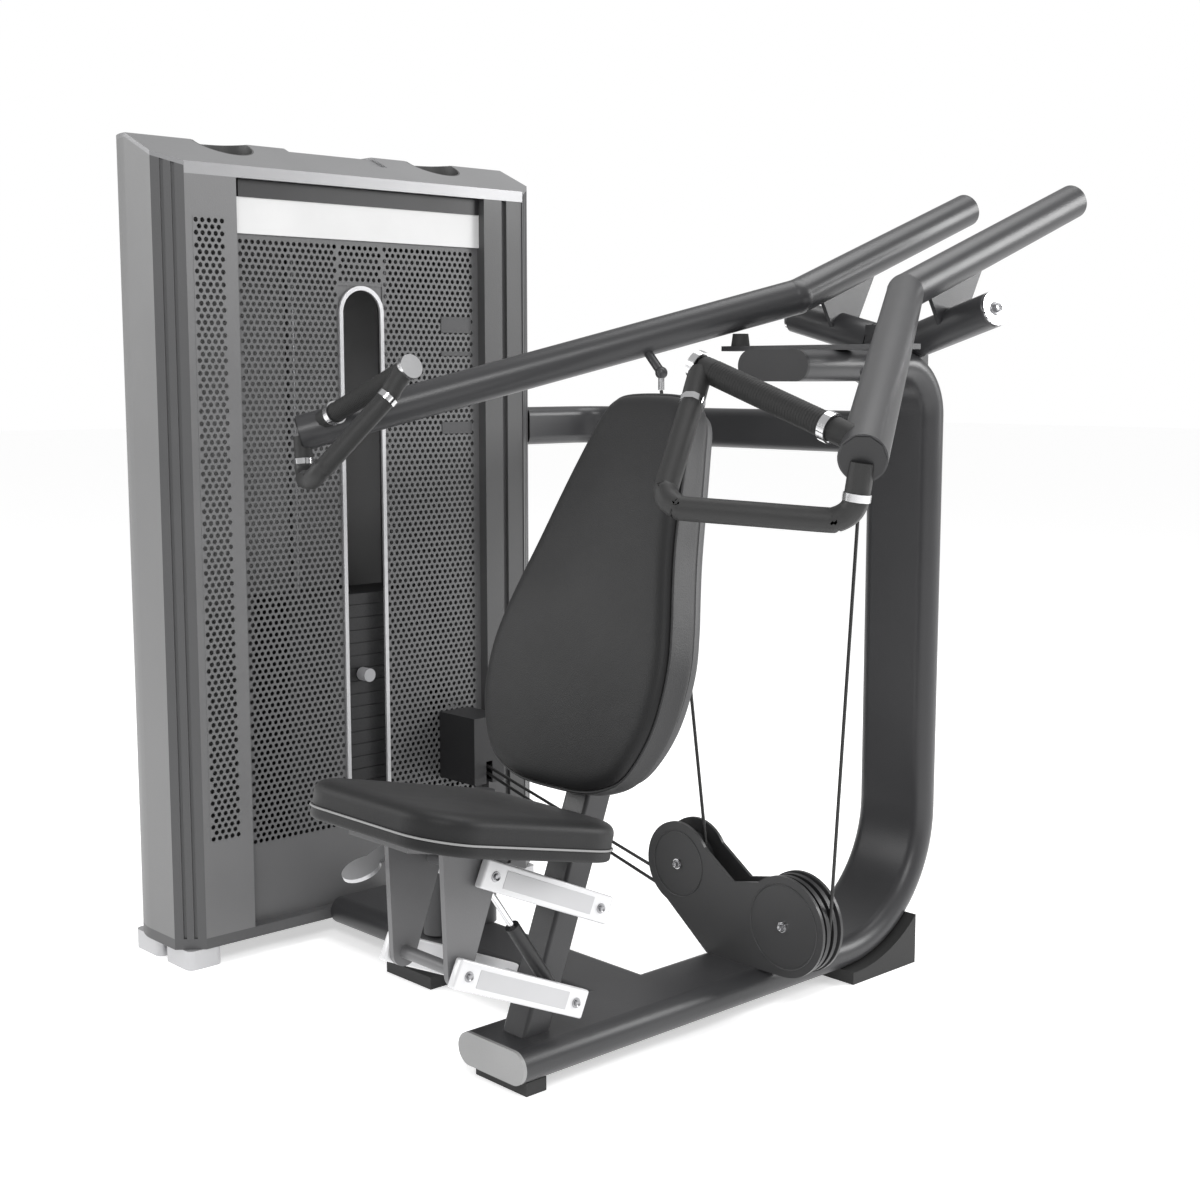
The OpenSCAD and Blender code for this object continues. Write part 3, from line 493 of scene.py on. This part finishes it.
back_pad.data.polygons.foreach_set("use_smooth", [True] * len(back_pad.data.polygons))
front_vinyl = vinyl("front_vinyl", (0.009, 0.009, 0.0095), 0.5)
# The side band is the same black vinyl as the front panel. Its lighter colour is painted light for the light the side
# band catches.
side_vinyl_painted_light = vinyl("side_vinyl_painted_light", (0.028, 0.028, 0.029), 0.46, 0.2)
back_pad.data.materials.append(front_vinyl)
back_pad.data.materials.append(side_vinyl_painted_light)
# Faces behind the front panel's seam take the side band's lighter colour, which is painted light.
for face in back_pad.data.polygons:
    local = face.center - POST_FOOT
    n = -local.y * math.cos(LEAN) + local.z * math.sin(LEAN)
    u = local.y * math.sin(LEAN) + local.z * math.cos(LEAN) - BACK_LOW
    if n < back_front(u) - 0.0185:
        face.material_index = 1
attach(back_pad, "frame")
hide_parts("back_pad")

# The piping round the front panel, in the side band's vinyl, carrying the same painted light.
pipe_loop = inset_loop(back_loop, 0.0)
back_piping = piping(
    "back_piping", [on_post(x, BACK_LOW + u, back_front(u) - 0.0185) for x, u in pipe_loop], 0.0021)
finish_piece(back_piping, side_vinyl_painted_light, "frame", "pad_vinyl")

# ---- Back shell ----
# A moulded dark shell behind the pad, a little smaller than it, with a rolled rear edge.
shell_loop = smooth_loop([(x * 0.965, 0.012 + u * 0.965) for x, u in BACK_OUTLINE], 5)
shell_levels = [
    (0.016, lambda x, u: 0.0262), (0.006, lambda x, u: 0.0268), (0.0015, lambda x, u: 0.0295),
    (0.0, lambda x, u: 0.034), (0.0, lambda x, u: 0.0425), (0.002, lambda x, u: 0.0448)
]
back_shell = lofted_pad(
    "back_shell", shell_loop, shell_levels, (0.0, 0.27), lambda x, u, n: on_post(x, BACK_LOW + u, n),
    lambda x, u, share: 0.0449)
settle(back_shell)
smooth(back_shell)
shell_plastic = powder_coat("shell_plastic", (0.060, 0.060, 0.062), 0.5, 0.6, 300.0)
finish_piece(back_shell, shell_plastic, "frame", "shell_grey", "pad_shell")

# ---- Seat pad ----
# A thick square-round cushion in the same vinyl, with a light piping low on its side band.
SEAT_TILT = math.radians(12.5)
SEAT_MID = Vector((0.0, -0.898, 0.431))
SEAT_W, SEAT_L, SEAT_T, SEAT_R = 0.345, 0.380, 0.062, 0.080


def on_seat(x, y, z):
    c, s = math.cos(SEAT_TILT), math.sin(SEAT_TILT)
    return SEAT_MID + Vector((x, y * c + z * s, -y * s + z * c))


seat_loop = []
for corner, (sx, sy) in enumerate(((1, -1), (1, 1), (-1, 1), (-1, -1))):
    for step in range(0, 13):
        angle = math.radians(-90 + 90 * corner + 90 * step / 12)
        seat_loop.append((sx * (SEAT_W / 2 - SEAT_R) + SEAT_R * math.cos(angle),
                          sy * (SEAT_L / 2 - SEAT_R) + SEAT_R * math.sin(angle)))
    nx, ny = ((1, 0), (0, 1), (-1, 0), (0, -1))[corner]
    reach = (SEAT_L if nx else SEAT_W) / 2 - SEAT_R
    for share in (-0.5, 0.0, 0.5):
        side = (nx * SEAT_W / 2, share * 2 * reach * nx) if nx else (-share * 2 * reach * ny, ny * SEAT_L / 2)
        seat_loop.append(side)
SEAT_SEAM = -0.012
seat_levels = [
    (0.012, lambda x, y: -0.0309), (0.003, lambda x, y: -0.0303), (0.0004, lambda x, y: -0.026),
    (0.0018, lambda x, y: -0.017), (0.0010, lambda x, y: -0.0135), (0.0030, lambda x, y: -0.012),
    (0.0010, lambda x, y: -0.0105), (0.0022, lambda x, y: -0.003), (0.0004, lambda x, y: 0.009),
    (0.0022, lambda x, y: 0.017), (0.0075, lambda x, y: 0.0225), (0.0160, lambda x, y: 0.0258),
    (0.0280, lambda x, y: 0.0275)
]
seat_pad = lofted_pad(
    "seat_cushion", seat_loop, seat_levels, (0.0, 0.0), on_seat,
    lambda x, y, share: 0.0275 + 0.0033 * (1 - share * share))
rounding = seat_pad.modifiers.new("rounding", "SUBSURF")
rounding.levels = rounding.render_levels = 1
settle(seat_pad)
seat_pad.data.polygons.foreach_set("use_smooth", [True] * len(seat_pad.data.polygons))
finish_piece(seat_pad, front_vinyl, "carrier", "pad_vinyl", "seat_pad")
seam_grey = powder_coat("seam_grey", (0.26, 0.26, 0.26), 0.5, 0.2)
seat_piping = piping("seat_piping", [on_seat(x, y, SEAT_SEAM) for x, y in seat_loop], 0.0016)
finish_piece(seat_piping, seam_grey, "carrier", "pad_vinyl")

# ---- Link covers ----
# Each seat link wears a silver cover on both sides: a rounded plate with a sunk long panel
# and a socket-head bolt on a washer at each pivot.
link_silver = powder_coat("link_silver", (0.70, 0.70, 0.71), 0.33, 0.25, 600.0, 0.2)
panel_silver = powder_coat("panel_silver", (0.50, 0.50, 0.51), 0.4, 0.25, 600.0, 0.2)
LINK_RISE = math.radians(23.8)
LINK_LEN = 0.225


def post_pivot(u):
    return Vector((0, -0.780 + u * math.sin(LEAN), 0.075 + u * math.cos(LEAN)))


def bolt_head(name, radius, height, washer):
    bpy.ops.mesh.primitive_cylinder_add(vertices=40, radius=washer, depth=0.002, location=(0, 0, 0.001))
    disc = bpy.context.object
    bpy.ops.mesh.primitive_cylinder_add(vertices=36, radius=radius, depth=height, location=(0, 0, height / 2 + 0.002))
    head = bpy.context.object
    shape = bmesh.new()
    shape.from_mesh(head.data)
    top = max(shape.faces, key=lambda f: f.calc_center_median().z)
    bmesh.ops.inset_individual(shape, faces=[top], thickness=radius * 0.45)
    for v in top.verts:
        v.co.z -= height * 0.55
    shape.to_mesh(head.data)
    shape.free()
    for piece in (disc, head):
        chamfer = piece.modifiers.new("chamfer", "BEVEL")
        chamfer.width = 0.0005
        chamfer.segments = 2
        chamfer.limit_method = "ANGLE"
        settle(piece)
    return smooth(join(name, [disc, head]))


def place_copy(source, name, matrix):
    made = source.copy()
    made.data = source.data.copy()
    made.name = name
    bpy.context.collection.objects.link(made)
    made.data.transform(matrix)
    return made


bolt_pattern = bolt_head("bolt_pattern", 0.0062, 0.005, 0.0098)
bolt_steel = bright_metal("bolt_steel", (0.34, 0.34, 0.35), 0.34)


def link_cover(name, side, rear):
    sheets = []
    for low, high, round_by, paint in (
        ((0.0740, -0.022, -0.022), (0.0895, LINK_LEN + 0.022, 0.022), 0.0035, link_silver),
        ((0.0890, 0.019, -0.0135), (0.0902, LINK_LEN - 0.019, 0.0135), 0.0006, panel_silver),
    ):
        low, high = list(low), list(high)
        if side < 0:
            low[0], high[0] = -high[0], -low[0]
        sheet = smooth(plain_box(low, high, round_by), 30)
        sheet.data.materials.append(paint)
        sheets.append(sheet)
    cover = join(name, sheets)
    turn = Matrix.Translation(rear) @ Matrix.Rotation(math.pi - LINK_RISE, 4, "X")
    cover.data.transform(turn)
    bolts = []
    for k, along in enumerate((0.0, LINK_LEN)):
        outward = Matrix.Rotation(side * math.pi / 2, 4, "Y")
        spot = turn @ Matrix.Translation((side * 0.0892, along, 0)) @ outward
        bolts.append(place_copy(bolt_pattern, f"{name}_bolt_{k}", spot @ Matrix.Scale(0.8, 4)))
    return cover, join(name + "_bolts", bolts)


for label, u, body, node in (("upper", 0.2115, "upper_link", "upper_links"), ("lower", 0.066, "lower_link", "lower_links")):
    for side_name, side in (("near", 1), ("far", -1)):
        cover, bolts = link_cover(f"{label}_{side_name}_cover", side, post_pivot(u))
        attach(cover, body)
        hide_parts(node)
        finish_piece(bolts, bolt_steel, body, "rod_chrome")
    bpy.ops.mesh.primitive_cylinder_add(vertices=40, radius=0.0119, depth=0.148, rotation=(0, math.pi / 2, 0), location=post_pivot(u))
    axle = smooth(settle(bpy.context.object))
    axle.name = f"{label}_link_axle"
    finish_piece(axle, bolt_steel, body, "link_silver")

# ---- Handles ----
# Each handle is a bent steel bar under a ribbed black grip, welded under the arm's end and
# closed by a straight press grip with chromed collars.
handle_black = powder_coat("handle_black", (0.016, 0.016, 0.016), 0.5, 0.8, 700.0)
grip_rubber = powder_coat("grip_rubber", (0.011, 0.011, 0.011), 0.62, 0.9, 900.0)
dress(handle_black, "left_handle", "right_handle")
HANDLE_ROUTE = [
    (0.614, -0.757, 0.970), (0.608, -0.759, 0.927), (0.606, -0.761, 0.917), (0.601, -0.763, 0.909),
    (0.594, -0.767, 0.903), (0.586, -0.772, 0.899), (0.577, -0.777, 0.898), (0.4995, -0.8225, 0.903),
    (0.422, -0.868, 0.908), (0.412, -0.873, 0.910), (0.403, -0.874, 0.914), (0.394, -0.874, 0.920),
    (0.387, -0.870, 0.928), (0.382, -0.864, 0.935), (0.3615, -0.8195, 0.9875), (0.341, -0.775, 1.040),
    (0.337, -0.764, 1.058), (0.331, -0.748, 1.082)
]


def rounded_route(points, steps):
    route = []
    for i in range(len(points) - 1):
        a, b = points[max(i - 1, 0)], points[i]
        c, d = points[i + 1], points[min(i + 2, len(points) - 1)]
        for s in range(steps):
            t = s / steps
            route.append(Vector([
                0.5 * (2 * b[k] + (c[k] - a[k]) * t + (2 * a[k] - 5 * b[k] + 4 * c[k] - d[k]) * t * t
                       + (3 * b[k] - a[k] - 3 * c[k] + d[k]) * t ** 3) for k in range(3)]))
    return route + [Vector(points[-1])]


def round_bar(name, start, end, radius, rings=2):
    route = [Vector(start).lerp(Vector(end), k / rings) for k in range(rings + 1)]
    return piping(name, route, radius, closed=False)


GRIP_IN, GRIP_OUT = Vector((0.330, -0.742, 1.086)), Vector((0.600, -0.735, 0.992))
for side_name, side in (("left", 1), ("right", -1)):
    def mirrored(p, s=side):
        return Vector((s * p[0], p[1], p[2]))

    body = f"{side_name}_press_arm"
    bar = piping(f"{side_name}_handle_bar", [mirrored(p) for p in rounded_route(HANDLE_ROUTE, 6)], 0.0164, closed=False)
    finish_piece(bar, handle_black, body, "handle_black", f"{side_name}_handle")
    grip_parts = [round_bar(f"{side_name}_grip_core", mirrored(GRIP_IN), mirrored(GRIP_OUT), 0.0170)]
    for k in range(44):
        spot = GRIP_IN.lerp(GRIP_OUT, 0.075 + 0.0165 * k)
        step = (GRIP_OUT - GRIP_IN).normalized() * 0.0015
        grip_parts.append(round_bar(f"{side_name}_rib_{k}", mirrored(spot - step), mirrored(spot + step), 0.0174, 1))
    grip = join(f"{side_name}_press_grip", grip_parts)
    finish_piece(grip, grip_rubber, body, "black_rubber", f"{side_name}_grip")
    collars = []
    for spot, ahead in ((HANDLE_ROUTE[1], HANDLE_ROUTE[0]), (HANDLE_ROUTE[-3], HANDLE_ROUTE[-4])):
        step = (Vector(spot) - Vector(ahead)).normalized() * 0.005
        collars.append(round_bar(f"{side_name}_collar", mirrored(Vector(spot) - step), mirrored(Vector(spot) + step), 0.0180))
    ring = join(f"{side_name}_loop_collars", collars)
    finish_piece(ring, chrome, body, "rod_chrome")

# ---- Arm ends and hub bolts ----
# Domed plugs close the ends of the arm tubes, and a socket bolt with a washer sits in the
# middle of each hub's bright cap.
HUB_IN = Vector((0.056, 0.114, 1.141))
HUB_DIR = Vector((0.954, -0.134, 0.268)).normalized()
ARM_ENDS = {
    "stub": (Vector((0.120, 0.485, 1.400)), Vector((0.0, 0.508, 0.184)).normalized()),
    "front": (Vector((0.617, -0.760, 0.975)), Vector((0.497, -0.737, -0.241)).normalized()),
}
for side_name, side in (("left", 1), ("right", -1)):
    flip = Matrix.Scale(side, 4, (1, 0, 0))
    body = f"{side_name}_press_arm"
    face = HUB_IN + HUB_DIR * 0.178
    spin = HUB_DIR.to_track_quat("Z", "Y").to_matrix().to_4x4()
    hub_bolt = place_copy(bolt_pattern, f"{side_name}_hub_bolt", flip @ Matrix.Translation(face) @ spin @ Matrix.Scale(1.25, 4))
    if side < 0:
        hub_bolt.data.flip_normals()
    finish_piece(hub_bolt, bolt_steel, body, "rod_chrome")
    for end_name, (spot, out) in ARM_ENDS.items():
        start, stop = spot - out * 0.002, spot + out * 0.0025
        for v in (start, stop):
            v.x *= side
        plug = round_bar(f"{side_name}_{end_name}_plug", start, stop, 0.0296, 1)
        finish_piece(plug, black_plastic, body, "black_plastic")

# ---- Cables ----
# Black coated steel cables: one from each arm down to its pulley, and both on to the tower.
cable_coat = powder_coat("cable_coat", (0.014, 0.014, 0.014), 0.4, 0.6, 1500.0)
dress(cable_coat, "fixed_cables")
for side_name, low, high in (
    ("left", (0.193, -0.286, 0.162), (0.228, -0.261, 1.0493)),
    ("right", (-0.082, -0.286, 0.220), (-0.228, -0.261, 1.0493)),
):
    cable = round_bar(f"{side_name}_arm_cable", low, high, 0.003, 48)
    cable.data.materials.clear()
    cable.data.materials.append(cable_coat)
    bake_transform(cable)
    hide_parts(f"{side_name}_cable")

# ---- Pulley housing ----
# Two black plates with a pressed ring round each pulley carry its axle between them, and
# the axle ends in a low bolt head.
housing_black = powder_coat("housing_black", (0.034, 0.034, 0.035), 0.36, 0.3)
dress(housing_black, "pulley_plates")
SMALL_C, LARGE_C = Vector((-0.130, 0, 0.220)), Vector((0.115, 0, 0.162))
plates_low, plates_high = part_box("pulley_plates")
for face_name, y, out in (("front", plates_low.y, -1), ("rear", plates_high.y, 1)):
    turn = Matrix.Rotation(-out * math.pi / 2, 4, "X")
    heads, rims = [], []
    for centre, reach in ((SMALL_C, 0.058), (LARGE_C, 0.072)):
        spot = Vector((centre.x, y + out * 0.004, centre.z))
        heads.append(place_copy(bolt_pattern, "housing_axle", Matrix.Translation(spot) @ turn @ Matrix.Scale(0.8, 4)))
        circle = [centre + reach * Vector((math.cos(math.tau * k / 72), 0, math.sin(math.tau * k / 72))) for k in range(72)]
        rims.append(piping("housing_rim", [(p.x, y, p.z) for p in circle], 0.0014))
    bolts = join(f"housing_{face_name}_bolts", heads)
    finish_piece(bolts, bolt_steel, "frame", "rod_chrome")
    rim = join(f"housing_{face_name}_rims", rims)
    finish_piece(rim, housing_black, "frame", "black_plastic")
bpy.data.objects.remove(bolt_pattern)

# ---- Camera, floor and light ----
# A seamless pale studio with large soft lamps above, at the left and behind the camera.
bpy.ops.object.camera_add(location=(1.959, -2.461, 1.078), rotation=(math.radians(90 - 7.393), 0, math.radians(46.83)))
camera = bpy.context.object
camera.data.lens = 52.27
camera.data.sensor_width = 36
bpy.context.scene.camera = camera

bpy.ops.mesh.primitive_plane_add(size=60, location=(0, 0, -0.0005))
floor = bpy.context.object
floor.name = "studio_floor"
floor_paint = bpy.data.materials.new("studio_floor")
floor_paint.use_nodes = True
floor_shader = floor_paint.node_tree.nodes["Principled BSDF"]
floor_shader.inputs["Base Color"].default_value = (0.92, 0.92, 0.92, 1)
floor_shader.inputs["Roughness"].default_value = 0.9
floor_shader.inputs["Specular IOR Level"].default_value = 0.1
floor_shader.inputs["Emission Color"].default_value = (1, 1, 1, 1)
floor_shader.inputs["Emission Strength"].default_value = 0.5
floor.data.materials.append(floor_paint)

world = bpy.data.worlds.new("studio")
bpy.context.scene.world = world
world.use_nodes = True
sky_nodes, sky_links = world.node_tree.nodes, world.node_tree.links
ambient = sky_nodes["Background"]
ambient.inputs["Color"].default_value = (1, 1, 1, 1)
ambient.inputs["Strength"].default_value = 0.52
backdrop = sky_nodes.new("ShaderNodeBackground")
backdrop.inputs["Color"].default_value = (1, 1, 1, 1)
backdrop.inputs["Strength"].default_value = 1.0
path = sky_nodes.new("ShaderNodeLightPath")
mix = sky_nodes.new("ShaderNodeMixShader")
output = sky_nodes["World Output"]
sky_links.new(path.outputs["Is Camera Ray"], mix.inputs["Fac"])
sky_links.new(ambient.outputs["Background"], mix.inputs[1])
sky_links.new(backdrop.outputs["Background"], mix.inputs[2])
sky_links.new(mix.outputs["Shader"], output.inputs["Surface"])


def soft_lamp(name, place, aim, size, power):
    bpy.ops.object.light_add(type="AREA", location=place)
    lamp = bpy.context.object
    lamp.name = name
    lamp.data.shape = "DISK"
    lamp.data.size = size
    lamp.data.energy = power
    lamp.rotation_euler = (Vector(aim) - Vector(place)).to_track_quat("-Z", "Y").to_euler()


soft_lamp("key_lamp", (2.6, -3.2, 3.4), (-0.1, -0.3, 0.7), 1.6, 80)
soft_lamp("side_lamp", (-2.8, -3.4, 2.2), (-0.2, -0.3, 0.7), 2.0, 55)
soft_lamp("top_lamp", (0.0, 0.6, 3.8), (-0.1, -0.2, 0.6), 2.6, 60)
soft_lamp("rear_lamp", (2.4, 3.0, 2.2), (-0.2, -0.2, 0.8), 2.0, 110)

bpy.context.scene.view_settings.view_transform = "Standard"
